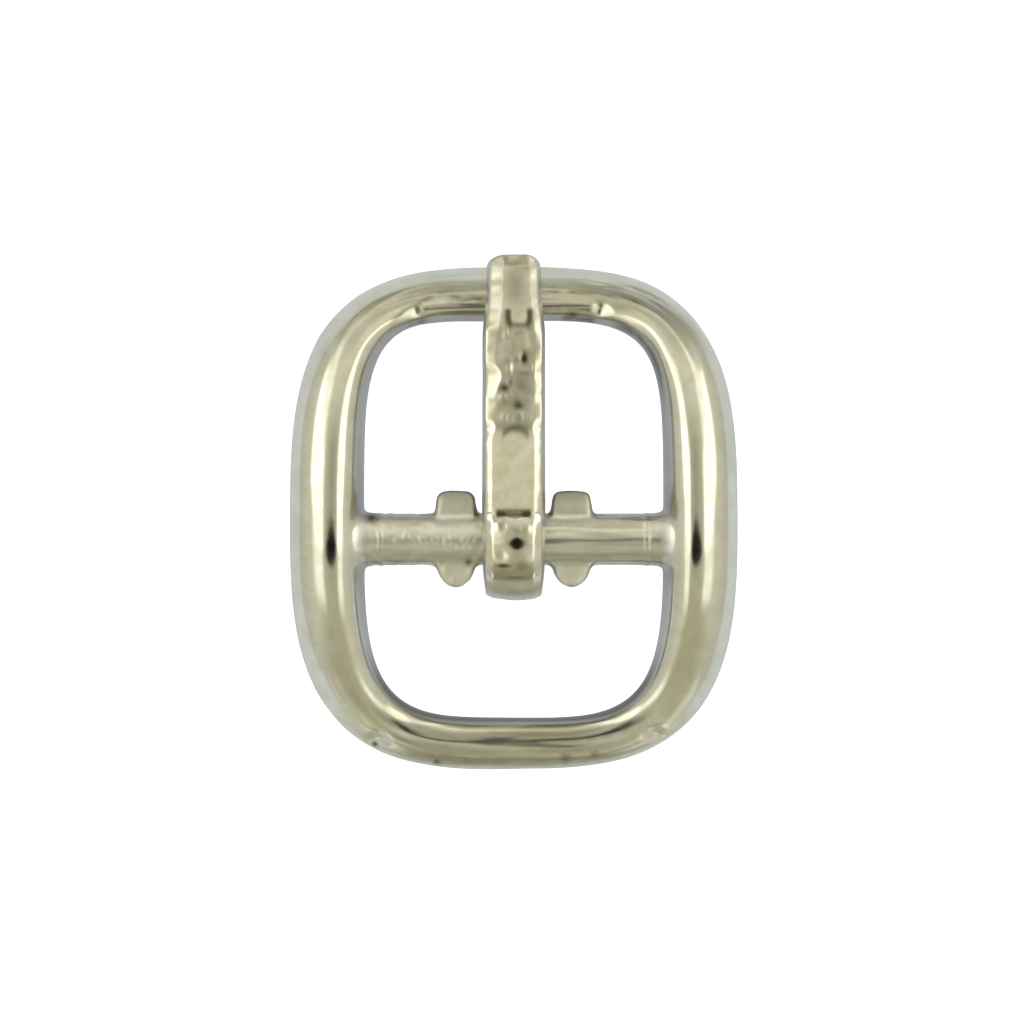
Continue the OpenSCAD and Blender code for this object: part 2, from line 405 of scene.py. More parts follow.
# %% [markdown]
# A buffed casting is never as even as its drawing. The buffing wheel runs along the rails, so what is
# left of the casting skin lies in long low waves that follow them, strongest on the end rails, which the
# wheel reaches badly. Only a band along the heel rail's opening is buffed more evenly. The bar isn't
# buffed at all: it keeps the mould's rough skin, in spots on one half and drawn out along the bar on the
# other, and a low collar runs round each end. The waves are up to 0.06 mm high, and a mirror shows them
# clearly. Points are moved along their normals by a noise that runs round the ring and across the rail.
# %% The uneven skin of the casting
side_wave_h = 0.004
end_wave_h = 0.06
ripple_share = 0.35
band_evenness = 0.75
bar_rough_h = 0.03
collar_x, collar_w, collar_h = 5.85, 0.12, 0.03


def smooth_step(edge0, edge1, v):
    t = max(0.0, min(1.0, (v - edge0) / (edge1 - edge0)))
    return t * t * (3 - 2 * t)


def rail_place(co):
    a = math.atan2(co.y - mid_y, co.x)
    inner, outer = rail_edges(a)
    return a, (math.hypot(co.x, co.y - mid_y) - inner) / (outer - inner)


def casting_wave(co):
    a, across = rail_place(co)
    on_end_rail = smooth_step(5.5, 8.5, abs(co.y - mid_y))
    in_buffed_band = smooth_step(0.45, 0.35, across) * (co.y < bar_y)
    height = side_wave_h + end_wave_h * on_end_rail * (1 - band_evenness * in_buffed_band)
    wave = height * noise.noise(Vector((2.4 * a + 3, 6.5 * across, 0.4 * co.z)))
    wave += ripple_share * height * noise.noise(Vector((6 * a, 13 * across + 4, 0.8 * co.z)))
    bar = smooth_step(6.6, 5.8, abs(co.x)) * smooth_step(3.2, 2.6, abs(co.y - bar_y))
    if bar > 0:
        wave += bar * collar_h * math.exp(-((abs(co.x) - collar_x) / collar_w) ** 2)
        if co.x < 0:
            rough = noise.noise(Vector((3.6 * co.x, 2.6 * co.y, 2.6 * co.z)))
        else:
            rough = noise.noise(Vector((0.5 * co.x, 4.2 * co.y, 4.2 * co.z + 7)))
        wave += bar * bar_rough_h * rough
    return wave


casting_skin.normal_update()
moves = [(vert, vert.normal * casting_wave(vert.co)) for vert in casting_skin.verts]
for vert, move in moves:
    vert.co += move
print("largest wave in mm:", round(max(move.length for vert, move in moves), 3))

# %% [markdown]
# Molten zinc enters the mould through small gates, and where they are broken off at the corners a file
# leaves short flats that no longer follow the round of the rail. Each flat is a tilted plane, and what
# stands above it is pressed down to it, less and less towards the mark's edge.
# %% File marks at the corners
file_marks = [
    # x, y, radius, heading from the tip towards +X and tilt in degrees, depth
    (-4.6, 8.85, 0.5, 92, 20, 0.05),
    (4.1, 8.9, 0.5, -92, 20, 0.05),
    (-6.1, -10.35, 0.5, -95, 26, 0.02),
    (6.3, -10.15, 0.5, 95, 26, 0.02),
]
above_ring = 9
mark_core, mark_edge = 0.3, 1.5  # shares of the radius

front_surface = BVHTree.FromBMesh(casting_skin)
for mark_x, mark_y, radius, heading_deg, tilt_deg, depth in file_marks:
    heading, tilt = math.radians(heading_deg), math.radians(tilt_deg)
    lean = Vector((math.sin(heading), math.cos(heading), 0))
    normal = math.sin(tilt) * lean + Vector((0, 0, math.cos(tilt)))
    surface = front_surface.ray_cast(Vector((mark_x, mark_y, above_ring)), Vector((0, 0, -1)))[0]
    plane_point = surface - depth * normal
    for vert in casting_skin.verts:
        above = (vert.co - plane_point).dot(normal)
        away = math.hypot(vert.co.x - mark_x, vert.co.y - mark_y)
        if above > 0 and away < mark_edge * radius:
            vert.co -= normal * above * smooth_step(mark_edge * radius, mark_core * radius, away)
print("file marks:", len(file_marks))

# %% [markdown]
# Polishing compound dries to a brown film where the wheel can't wipe it off, and stays as small stains in
# the pits of the skin. Dark streaks along the end rails are painted reflections, laid in the same brown.
# An image could paint them, but a few places in two tables say as much. A stain is seen on the front
# alone, so that it doesn't run down the wall of the opening.
# %% Stains of polish and painted dark reflections
stains = [
    # x, y, radius, residue
    (-4.05, 8.4, 0.2, 0.9), (-4.5, 8.3, 0.14, 0.6), (-1.9, 9.6, 0.3, 0.5), (-6.2, -10.3, 0.14, 1.0),
    (-3.4, -11.1, 0.16, 0.9), (2.6, 8.75, 0.3, 0.7), (4.7, 8.1, 0.25, 0.8), (5.6, 7.4, 0.2, 0.7),
    (2.3, -10.9, 0.3, 0.6), (3.6, -10.75, 0.2, 0.6), (-6.25, -0.2, 0.25, 0.9), (-2.0, -2.15, 0.14, 0.9),
]
# Painted dark reflections, drawn as streaks along the end rails
painted_dark_streaks = [
    # tip rail 1 or heel rail -1, x from, x to, place across the rail at both ends, half width, darkness
    (1, -5.4, -2.5, 0.22, 0.62, 0.055, 0.8),
    (1, -3.0, -0.9, 0.4, 0.38, 0.09, 0.85),
    (1, 1.2, 5.8, 0.5, 0.56, 0.055, 0.8),
    (1, 1.2, 3.6, 0.22, 0.2, 0.07, 0.45),
    (1, 2.2, 3.6, 0.05, 0.03, 0.05, 0.9),
    (1, 4.6, 6.6, 0.03, 0.05, 0.05, 0.8),
    (-1, -6.2, -0.6, 0.4, 0.42, 0.06, 0.38),
    (-1, 0.6, 6.0, 0.44, 0.4, 0.06, 0.38),
    (-1, -5.2, 5.2, 0.8, 0.8, 0.12, 0.28),
]
end_rail_start = 3  # from the bar
streak_fade = 0.1  # of a streak's length, at both ends


def stain_residue(co, facing_up):
    darkest = max(amount * math.exp(-((co.x - x) ** 2 + (co.y - y) ** 2) / radius ** 2)
                  for x, y, radius, amount in stains)
    return smooth_step(-0.1, 0.3, facing_up) * darkest


# Darkness of the painted reflection streaks at a point
def painted_dark_streak(co, across):
    amounts = []
    for rail, x0, x1, place0, place1, half_w, amount in painted_dark_streaks:
        along = (co.x - x0) / (x1 - x0)
        if rail * (co.y - bar_y) > end_rail_start and -streak_fade < along < 1 + streak_fade:
            away = (across - place0 - (place1 - place0) * along) / half_w
            broken = 0.75 + 0.5 * noise.noise(Vector((2.5 * co.x, 9 * across, rail)))
            ends = (smooth_step(-streak_fade, streak_fade, along)
                    * smooth_step(1 + streak_fade, 1 - streak_fade, along))
            amounts.append(amount * broken * ends * math.exp(-away ** 2))
    return max(amounts, default=0.0)


print("stains:", len(stains), "streaks:", len(painted_dark_streaks))

# %% [markdown]
# The wheel doesn't reach the wall of the opening, the back and the bar, so the plating stays duller
# there, and their colour is also darkened as painted shade, as is all that faces down. The wheel only
# brushes the end rails and the tabs. Brown film lies in patches on the end rails. A dark band along the
# middle of the tip rail is a painted reflection, the opening's wall at the heel gets painted shade, and
# the tabs towards the tip are darker, most at their ends. Values from 0 to 1 are stored on the points,
# and the material reads them by their names.
# %% Mark dull places, painted shade, painted reflections and brown film on the casting
bar_side = -0.06  # points further inside the rail's edge belong to the bar
tab_end_x = 4

casting_skin.normal_update()
unbuffed_and_shade, satin, residue_and_painted_dark = [
    casting_skin.verts.layers.float.new(name) for name in ("unbuffed_and_shade", "satin", "residue_and_painted_dark")]
for vert in casting_skin.verts:
    a, across = rail_place(vert.co)
    from_bar = vert.co.y - bar_y
    facing_up = vert.normal.z
    on_end_rail = smooth_step(6.5, 8.5, abs(vert.co.y - mid_y))
    patch = noise.noise(Vector((2.2 * a + 5, 5 * across, 0.3 * vert.co.z)))
    # brown film patches on the end rails, painted dark reflections as streaks, and stains
    brown_and_painted_dark = [0.3 * on_end_rail * smooth_step(0.1, 0.5, patch) * smooth_step(0.35, 0.7, facing_up),
             painted_dark_streak(vert.co, across), stain_residue(vert.co, facing_up)]
    if across > bar_side:
        # duller finish, and painted shade: the opening's wall and the faces turned down get the darker
        # colour
        vert[unbuffed_and_shade] = max(smooth_step(0.16, 0.04, across), smooth_step(0.1, -0.4, facing_up))
        if from_bar > 0:
            vert[satin] = 0.4 * on_end_rail
        else:
            vert[satin] = on_end_rail * (0.15 + 0.3 * smooth_step(0.3, 0.5, across))
            # painted shade on the opening's wall at the heel
            brown_and_painted_dark.append(0.8 * smooth_step(-5.5, -8, vert.co.y) * smooth_step(0.12, 0.03, across))
    else:
        on_tab = smooth_step(1.05, 1.35, abs(from_bar)) * (abs(vert.co.x) < tab_end_x)
        # duller finish, and painted shade: the bar's underside gets the darker colour
        vert[unbuffed_and_shade] = 0.2 + 0.4 * smooth_step(0.1, -0.5, facing_up)
        vert[satin] = max(0.75 if vert.co.x < 0 else 0.45, on_tab)
        # the tabs towards the tip are darker, most at their ends
        if from_bar > 0 and on_tab:
            brown_and_painted_dark.append(0.3 + 0.3 * smooth_step(1.5, 2.1, from_bar))
    # painted dark reflection along the middle of the tip rail
    if from_bar > 0:
        brown_and_painted_dark.append(0.32 * on_end_rail * smooth_step(0.3, 0.45, across) * smooth_step(0.8, 0.6, across))
    vert[residue_and_painted_dark] = min(1.0, max(brown_and_painted_dark))
print("unbuffed points:", sum(vert[unbuffed_and_shade] > 0.5 for vert in casting_skin.verts))

# %% [markdown]
# Ring, bar and tabs are one casting, so they are one piece. It rides on the model's body "frame",
# takes the place of the node of that name, which is hidden, and carries the casting's material.
# %% The casting piece
buckle_ring = make_piece(casting_skin, "cast_ring_with_bar", casting)
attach(buckle_ring, "frame")
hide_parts("frame")
print(buckle_ring.name, "is", round(buckle_ring.dimensions.x / MM, 2), "mm wide")

# %% [markdown]
# The tongue starts as a straight strip of steel, is pressed to shape and rolled round the bar. The mesh
# follows the same order: a plain bar of metal gets its corners and long edges broken with bevels, is
# cut into short pieces with planes, and is then bent along the path of the real tongue. The path is
# given as heights of the front over the distance from the bar's axis, called y below.
# %% Sizes of the tongue in millimetres
tongue_w = 2.8
tip_w = 2.4
strip_t = 1.35
tip_t = 0.95
loop_r = 2.7
loop_wall = 1.47
crease_y = 1.2  # the loop ends and the flat panel begins
panel_end_y = 4.8
panel_slope = math.tan(math.radians(16))
step_y = 9.35  # the front steps down towards the rail
step_h = 0.42
seat_y = 10.6  # the tongue rests on the rail
seat_t = 1.07
rest_gap = 0.08
tip_y = 12.6
tip_drop = 0.68
past_tip_y = tip_y + 1  # the tables end beyond the tip
past_tip_drop = 0.36
crease_z = bar_z + math.sqrt(loop_r ** 2 - crease_y ** 2)
panel_end_z = crease_z - panel_slope * (panel_end_y - crease_y)
rail_top_z = max(ring_point(math.pi / 2, math.radians(p)).z for p in range(0, 181, 15))
seat_z = rail_top_z + rest_gap + seat_t
tip_z = seat_z - tip_drop
print("the tongue's front is", round(crease_z, 2), "mm high at the crease,", round(seat_z, 2), "at the seat")

# %% [markdown]
# Height, thickness, width and bevels of the real strip change along it. Each is a short table of
# distances and values, read with straight lines between them and then rounded, as a bend in metal is.
# The bevels differ on the left (-1) and the right (1), because the hammer has squeezed the edges.
# %% The strip's section along the tongue
front_heights = [(crease_y - 1, crease_z + panel_slope), (panel_end_y, panel_end_z),
                 (step_y, seat_z + step_h), (seat_y, seat_z), (past_tip_y, tip_z - past_tip_drop)]
strip_thickness = [(0, strip_t), (crease_y, strip_t), (9.7, 1.15), (tip_y, tip_t), (past_tip_y, tip_t)]
strip_width = [(0, tongue_w), (9.3, tongue_w), (10.5, tip_w + 0.08), (past_tip_y, tip_w)]
crown_height = [(0, 0.02), (4.6, 0.02), (5.4, 0.03), (8.9, 0.03), (9.6, 0.0), (past_tip_y, 0.0)]
bevel_width = {
    -1: [(0, 0.3), (4.5, 0.3), (4.9, 0.5), (5.2, 0.3), (6.2, 0.4), (6.6, 0.5), (6.9, 0.68), (7.4, 0.68),
         (7.6, 0.4), (8.4, 0.4), (9.0, 0.58), (past_tip_y, 0.58)],
    1: [(0, 0.34), (4.5, 0.34), (4.9, 0.45), (5.2, 0.3), (8.4, 0.3), (9.2, 0.34), (10.8, 0.34),
        (11.3, 0.4), (11.8, 0.34), (past_tip_y, 0.34)]}
bevel_fall = {
    -1: [(0, 0.33), (4.9, 0.33), (5.2, 0.04), (6.2, 0.04), (6.4, 0.28), (7.5, 0.28), (7.65, 0.04),
         (9.3, 0.04), (9.4, 0.33), (past_tip_y, 0.33)],
    1: [(0, 0.33), (4.9, 0.33), (5.3, 0.04), (5.9, 0.04), (6.2, 0.28), (6.5, 0.28), (6.7, 0.04),
        (6.9, 0.04), (7.2, 0.28), (7.5, 0.28), (7.8, 0.04), (9.15, 0.04), (9.25, 0.33),
        (past_tip_y, 0.33)]}


def look_up(v, table):
    for (v0, h0), (v1, h1) in zip(table, table[1:]):
        if v <= v1:
            return h0 + (h1 - h0) * max(0.0, (v - v0) / (v1 - v0))
    return table[-1][1]


def rounded(v, table, reach):
    return sum(look_up(v + k * reach / 4, table) for k in range(-4, 5)) / 9


print("width at the tip in mm:", round(rounded(tip_y, strip_width, 0.4), 2))

# %% [markdown]
# The blank is what the press cuts from the strip: a flat bar as long as the shank and the way round the
# loop. Here it lies with its tip at 0 and its front at z 0. The bevel operator rounds the tip's corners,
# breaks the front's edges with one wide flat, and takes the sharpness off all the others.
# %% The straight blank
shank_l = tip_y - crease_y
crease_angle = math.asin(crease_y / loop_r)
loop_turn = math.radians(307)
blank_l = shank_l + loop_r * loop_turn
bevel_w = 0.4
small_bevel_w = 0.07
tip_corner_r = {-1: 0.5, 1: 0.6}
tip_corner_x = 1.2  # further out than this lies a corner
nearly_0 = 1e-3

blank = bmesh.new()
bmesh.ops.create_cube(blank, size=1)
bmesh.ops.scale(blank, verts=blank.verts, vec=(tongue_w, blank_l, strip_t))
bmesh.ops.translate(blank, verts=blank.verts, vec=(0, blank_l / 2, -strip_t / 2))


def bevel(bm, edges, offset, segments):
    bmesh.ops.bevel(bm, geom=edges, offset=offset, offset_type="OFFSET", affect="EDGES",
                    segments=segments, profile=0.5, material=-1)


for side, corner_r in tip_corner_r.items():
    corner = [e for e in blank.edges
              if all(v.co.y < nearly_0 and v.co.x * side > tip_corner_x for v in e.verts)]
    bevel(blank, corner, corner_r, 4)
front_edges = [e for e in blank.edges if all(abs(v.co.z) < nearly_0 for v in e.verts)
               and not all(v.co.y > blank_l - nearly_0 for v in e.verts)]
bevel(blank, front_edges, bevel_w, 1)
sharp_edges = [e for e in blank.edges if e.calc_face_angle(0) > math.radians(30)]
bevel(blank, sharp_edges, small_bevel_w, 2)
print("blank:", len(blank.faces), "faces,", round(blank_l, 1), "mm long")

# %% [markdown]
# A mesh can bend only where it has points. Knife cuts by planes, along the blank and across it, give it
# short pieces without changing its shape. Where the crease will be, the cuts lie much closer.
# %% Cut the blank into short pieces
piece_l = 0.125
crease_cuts = (-0.18, -0.13, -0.09, -0.05, -0.02, 0.02, 0.05, 0.09, 0.13, 0.18)
cuts = [((0, piece_l * i, 0), (0, 1, 0)) for i in range(1, int(blank_l / piece_l))]
cuts += [((0, shank_l + y, 0), (0, 1, 0)) for y in crease_cuts]
cuts += [((0.1 * i, 0, 0), (1, 0, 0)) for i in range(-9, 10)]
for place, across in cuts:
    bmesh.ops.bisect_plane(blank, geom=blank.verts[:] + blank.edges[:] + blank.faces[:], dist=1e-4,
                           plane_co=place, plane_no=across)
print("cut blank:", len(blank.faces), "faces")

# %% [markdown]
# The real strip shows the hammer that shaped it: a field of dents, some of them leaning, and darker
# spots in and around them. They could be sculpted one by one, but a table of places can be used twice,
# to press the front down and to mark the darker spots.
# %% The hammer dents
dents = [
    # x, y, half width, half length, depth, lean towards +X, darkness
    (0.46, 7.92, 0.19, 0.26, 0.03, 0, 1.2),
    (0.2, 7.85, 0.2, 0.16, 0, 0, 0.45),
    (-0.4, 6.62, 0.22, 0.19, 0.02, 0, 0.9),
    (-0.16, 6.88, 0.14, 0.26, 0.01, 0, 0.6),
    (0.2, 5.85, 0.26, 0.2, 0.03, 0, 0.9),
    (0.18, 6.0, 0.4, 0.35, 0, 0, 0.4),
    (0.34, 6.8, 0.36, 0.55, 0.01, 0, 0.42),
    (0.4, 7.25, 0.34, 0.16, 0.005, 0, 0.45),
    (0.22, 5.3, 0.12, 0.28, 0, 0, 0.35),
    (-0.25, 7.75, 0.3, 0.2, 0, 0, 0.2),
    (0.15, 9.1, 0.4, 0.16, 0, 0, 0.2),
    (0.27, 10.6, 0.2, 0.25, 0, 0, 0.4),
    (0.1, 11.2, 0.68, 1.4, 0, 0, 0.56),
    (0.45, 11.95, 0.4, 0.14, 0, 0, 0.5),
    (0.7, 11.3, 0.1, 0.9, 0, 0, 0.35),
    (-0.25, 9.05, 0.14, 0.26, 0, -0.24, 0),
    (-0.1, 7.55, 0.14, 0.2, 0, -0.28, 0),
    (0.84, 7.5, 0.12, 0.22, 0, 0.26, 0),
    (-0.3, 5.3, 0.18, 0.2, 0, -0.22, 0),
    (0.58, 5.35, 0.12, 0.24, 0, 0.24, 0),
    (-0.35, 6.3, 0.2, 0.14, 0, -0.18, 0),
    (-0.7, 8.7, 0.3, 0.4, 0, -0.08, 0),
    (0.85, 9.0, 0.2, 0.3, 0, 0.14, 0),
    (-0.55, 0.68, 0.16, 0.16, 0, -0.24, 0),
    (0.5, 0.6, 0.14, 0.22, 0, 0.18, 0),
    (-0.65, -0.7, 0.24, 0.16, 0, -0.1, 0),
    (-0.45, -1.14, 0.34, 0.1, 0, 0, 1.0),
    (0.35, -1.2, 0.4, 0.24, 0, 0, 0.45),
    (0.0, -1.35, 1.1, 0.3, 0, 0, 0.25),
    (0.1, -1.66, 0.6, 0.07, 0, 0, 0.5),
]


def in_dent(x, y, dent):
    dent_x, dent_y, half_w, half_l = dent[:4]
    return math.exp(-((x - dent_x) / half_w) ** 2 - ((y - dent_y) / half_l) ** 2)


def all_dents(x, y):
    return sum(in_dent(x, y, dent) * (dent[5] * (x - dent[0]) - dent[4]) for dent in dents)


print("dents:", len(dents), "with a depth or a lean:", sum(dent[4] > 0 or dent[5] != 0 for dent in dents))

# %% [markdown]
# The press has left three marks of its own: a hard crease where the loop begins, an arched edge where
# the flat panel ends, and a U-shaped edge where the tip was struck flat over the rail. Each is a short
# formula that gives up to 1 in the mark and 0 away from it, and it is used twice as the dents are.
# %% The marks of the press
mark_w = 0.165
u_x, u_y, u_half_w, u_end_y = 0.23, 9.85, 0.47, 10.15
arch_x, arch_y, arch_curve, arch_half_w = 0.08, 4.86, 0.9, 0.58
groove_y, groove_w = crease_y - 0.09, 0.17


def in_u_mark(x, y):
    dx = abs(x - u_x) / u_half_w
    dy = max(0.0, u_y - y) / u_half_w
    away = abs((dx ** 3 + dy ** 3) ** (1 / 3) - 1) * u_half_w
    at_leg = smooth_step(0.5, 0.9, dx)
    width = mark_w * (0.9 + 0.4 * at_leg)
    legs_end = smooth_step(u_end_y + 0.15, u_end_y - 0.15, y)
    return (0.7 + 0.3 * at_leg) * math.exp(-(away / width) ** 2) * legs_end


def in_arch_mark(x, y):
    away = y - arch_y + arch_curve * (x - arch_x) ** 2
    width = mark_w * (1.1 + 0.35 * smooth_step(-0.2, 0.3, x))
    ends = smooth_step(arch_half_w + 0.1, arch_half_w - 0.1, abs(x - arch_x))
    return math.exp(-(away / width) ** 2) * ends


def in_crease(x, y):
    return math.exp(-((y - groove_y) / groove_w) ** 2) * smooth_step(0.88, 0.66, abs(x))


print("in the middle of the U:", round(in_u_mark(u_x, u_y), 2), "and on its leg:",
      round(in_u_mark(u_x + u_half_w, u_y), 2))

# %% [markdown]
# Before the strip is bent, its front gets its height from the path, the marks and a slight unevenness
# of the hammered field, and its long edges get their places from the tables. Three small functions
# answer where a point of the blank goes in height and across.
# %% The front and the long edges
mark_depth = 0.012
hammer_wave_h, hammer_ripple_h = 0.03, 0.013
edge_round = 0.14
bevel_round = 0.15


def pressed_front(x, y):
    z = rounded(y, front_heights, 0.2)
    z -= rounded(y, crown_height, 0.3) * x * x
    hammered = smooth_step(4.9, 5.8, y) * smooth_step(9.4, 8.6, y)
    z += hammered * hammer_wave_h * noise.noise(Vector((1.3 * x + 3, 1.2 * y, 0.5)))
    z += hammered * hammer_ripple_h * noise.noise(Vector((2.9 * x + 9, 2.6 * y, 4.5)))
    z -= mark_depth * (in_u_mark(x, y) + in_arch_mark(x, y))
    return z + all_dents(x, y)


def side_place(co, half_w, wide):
    flat_w = tongue_w / 2 - bevel_w
    top_w = half_w - edge_round * smooth_step(bevel_w + 0.4, bevel_w, -co.z)
    inner_share = min(1.0, abs(co.x) / flat_w)
    outer_share = max(0.0, (abs(co.x) - flat_w) / bevel_w)
    return math.copysign((top_w - wide) * inner_share + wide * outer_share, co.x)


def on_both_sides(x, table, y):
    left, right = rounded(y, table[-1], bevel_round), rounded(y, table[1], bevel_round)
    return left + (right - left) * smooth_step(-0.8, 0.8, x)


print("front in mm at the seat:", round(pressed_front(0, seat_y), 2))

# %% [markdown]
# The tongue is bent as the real one is, in two parts. Up to the crease each point keeps its distance
# along the strip and is lowered to the path's height, and past the crease the strip is rolled into a
# ring round the bar's axis. The front of the loop is crowned like a small roof. One function does both,
# from a point of the blank to its place on the buckle, and the shared terms come first.
# %% Bend it along the tongue's path
crease_depth = 0.03
bevel_unevenness = 0.1
end_bevel_cut, end_bevel_l = 0.12, 1.2
lean_start_y, back_lean = 3.4, 0.6  # the back leans towards the loop, which joins it without a notch
crown_slope, crown_start_slope, crown_start_l = 0.36, 0.04, 0.8
crown_x, crown_w = 0.14, 0.35
loop_narrowing = 0.02


def bend(co):
    depth = -co.z
    in_front = depth < bevel_w
    in_bevel = min(depth, bevel_w) / bevel_w
    below = max(0.0, depth - bevel_w) / (strip_t - bevel_w)
    at_end = smooth_step(end_bevel_l, bevel_w, co.y) * (1 - in_bevel)
    y = max(tip_y - co.y - end_bevel_cut * at_end, 0)
    wide = on_both_sides(co.x, bevel_width, y)
    wide *= 1 + bevel_unevenness * noise.noise(Vector((co.x, 3 * y, 1)))
    drop = wide * on_both_sides(co.x, bevel_fall, y)
    if co.y <= shank_l:
        x = side_place(co, rounded(y, strip_width, 0.4) / 2, wide)
        groove = crease_depth * in_crease(x, y) * in_front
        thickness = look_up(y, strip_thickness)
        z = pressed_front(x, y) - in_bevel * drop - below * (thickness - drop) - groove
        lean = back_lean * below + math.sin(crease_angle) * in_bevel * drop
        return Vector((x, bar_y + y - lean * smooth_step(lean_start_y, crease_y, y), z))
    x = side_place(co, tongue_w / 2, wide)
    past_crease = smooth_step(0, crown_start_l, co.y - shank_l)
    angle = crease_angle - (co.y - shank_l) / loop_r
    along = loop_r * math.sin(angle)
    groove = crease_depth * in_crease(x, along) * in_front
    crown = crown_w * (math.hypot(x - crown_x * past_crease, crown_w) - crown_w)
    crown *= (crown_start_slope + crown_slope * past_crease) * (1 - below)
    r = loop_r - in_bevel * drop - below * (loop_wall - drop) - crown - groove
    if math.cos(angle) > 0.5 and in_front:
        r += all_dents(x, along)
    x *= 1 - loop_narrowing * past_crease
    return Vector((x, bar_y + r * math.sin(angle), bar_z + r * math.cos(angle)))


for vert in blank.verts:
    vert.co = bend(vert.co)
tongue_skin = subdivided(blank, 1)
print("tongue:", len(tongue_skin.faces), "faces")

# %% [markdown]
# The strip's sheared sides are never buffed, so they stay dull, and their colour, like that of the faces
# turned towards the tip, is darkened as painted shade, which shows as thin dark lines from the front. The
# hammered field and the loop's lower lip are only brushed. The crease, the U and the arch are darkened as
# painted shade in their grooves, the dents get darker spots, and the same formulas that pressed the marks
# say where that is.
# %% Mark dull sides, painted shade and darker spots on the tongue
bmesh.ops.recalc_face_normals(tongue_skin, faces=tongue_skin.faces)
unbuffed_and_shade, satin, residue_and_painted_dark = [
    tongue_skin.verts.layers.float.new(name) for name in ("unbuffed_and_shade", "satin", "residue_and_painted_dark")]
for vert in tongue_skin.verts:
    x, y = vert.co.x, vert.co.y - bar_y
    # duller finish, and painted shade: the sides and the faces turned towards the tip get the darker colour
    vert[unbuffed_and_shade] = smooth_step(0.55, 0.85, max(abs(vert.normal.x), vert.normal.y))
    vert[satin] = max(0.4 * smooth_step(4.8, 5.6, y), smooth_step(-1.6, -2, y))
    # painted shade in the crease, the U and the arch, and darker spots at the dents
    if vert.normal.z > 0.5:
        crease = (0.85 + 0.4 * smooth_step(0.2, 0.6, abs(x))) * in_crease(x, y)
        brown_and_painted_dark = max(0.95 * in_u_mark(x, y), 0.65 * in_arch_mark(x, y), crease,
                    max(dent[6] * in_dent(x, y, dent) for dent in dents))
        vert[residue_and_painted_dark] = min(1.0, brown_and_painted_dark)
print("points with residue:", sum(vert[residue_and_painted_dark] > 0.3 for vert in tongue_skin.verts))

# %% [markdown]
# The tongue turns on the bar, so it is a piece of its own and rides on the model's body "tongue". Its
# mesh lies where the tongue rests.
# %% The tongue piece
prong = make_piece(tongue_skin, "bent_tongue", strip)
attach(prong, "tongue")
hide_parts("tongue")
print(prong.name, "is", round(prong.dimensions.y / MM, 2), "mm long")

# %% [markdown]
# The floor is a plain pale sheet of paper, lit so brightly that the camera sees it as white. Seen in
# the metal it stays a light grey, as in a picture that is exposed for the metal, so its glow depends on
# whether the camera looks at it directly. Beyond the heel the sheet is darker, because whoever takes the
# picture stands there and shades it, and the outer walls of the heel rail mirror that shade.
# %% Floor
floor_r = 1.2
shade_start_y, shade_full_y = -11 * MM, -15 * MM
shade_end_x, shade_full_x = 14 * MM, 8 * MM
mirrored_glow, direct_glow = 0.12, 0.9

floor_mesh = bpy.data.meshes.new("pale_floor")
floor_bm = bmesh.new()
bmesh.ops.create_circle(floor_bm, cap_ends=True, segments=96, radius=floor_r)
floor_bm.to_mesh(floor_mesh)
floor_bm.free()
floor = bpy.data.objects.new("pale_floor", floor_mesh)
bpy.context.scene.collection.objects.link(floor)

paper = bpy.data.materials.new("white_coated_paper_matt")
paper.use_nodes = True
tree = paper.node_tree
shader = tree.nodes["Principled BSDF"]
shader.inputs["Roughness"].default_value = 0.9
shader.inputs["Specular IOR Level"].default_value = 0.0
shader.inputs["Emission Color"].default_value = linear("#f8fbff")
place = add_node(tree, "ShaderNodeTexCoord").outputs["Object"]
part = add_node(tree, "ShaderNodeSeparateXYZ", {"Vector": place}).outputs
beyond_heel = add_node(tree, "ShaderNodeMapRange", {
    "Value": part["Y"], "From Min": shade_start_y, "From Max": shade_full_y})
sideways = add_node(tree, "ShaderNodeMath", {0: part["X"]}, operation="ABSOLUTE")
near_middle = add_node(tree, "ShaderNodeMapRange", {
    "Value": sideways.outputs[0], "From Min": shade_end_x, "From Max": shade_full_x})
shade = add_node(tree, "ShaderNodeMath", {
    0: beyond_heel.outputs[0], 1: near_middle.outputs[0]}, operation="MULTIPLY")
shaded = add_node(tree, "ShaderNodeMix", {
    0: shade.outputs[0], 6: linear("#d9dff2"), 7: linear("#a2a69c")}, data_type="RGBA")
tree.links.new(shaded.outputs[2], shader.inputs["Base Color"])
seen_directly = add_node(tree, "ShaderNodeLightPath").outputs["Is Camera Ray"]
glow = add_node(tree, "ShaderNodeMapRange", {
    "Value": seen_directly, "To Min": mirrored_glow, "To Max": direct_glow})
tree.links.new(glow.outputs[0], shader.inputs["Emission Strength"])
floor_mesh.materials.append(paper)
print("floor: paper disc of", 2 * floor_r, "m")

# %% [markdown]
# A mirror shows its surroundings, so the studio matters as much as the metal. Most light or dark streaks
# on the rails are a lamp, a wall of the room or the lens, and a few dark ones are painted reflections in
# the metal's colour. The lamps, walls and lens could be built as glowing sheets, but soft edges are easier
# in a world shader, which depends on the direction alone. Left and right are alike, so X is used without
# its sign. The tilt is the angle from straight up, and the heading is the angle from the tongue's
# direction. Lamps with straight edges are easiest on a ceiling one unit above the buckle, whose places are
# plane_x and plane_y. A table holds the small sums, one Math node for each row, and a later row can use an
# earlier one by its name.
# %% Directions in the studio
lamp_bend_y = 0.32  # where each slanted edge of the side lamps turns upright
near_slant, far_slant, band_slant = 0.78, 1.4, 0.35  # steps sideways for one step of plane_y
band_shift = 0.25
lens_tilt, lens_radius = math.radians(7.7), math.radians(11.5)
low_tilt, low_half_tilt = math.radians(80), math.radians(7)
low_heading, low_half_heading = math.radians(156), math.radians(8)

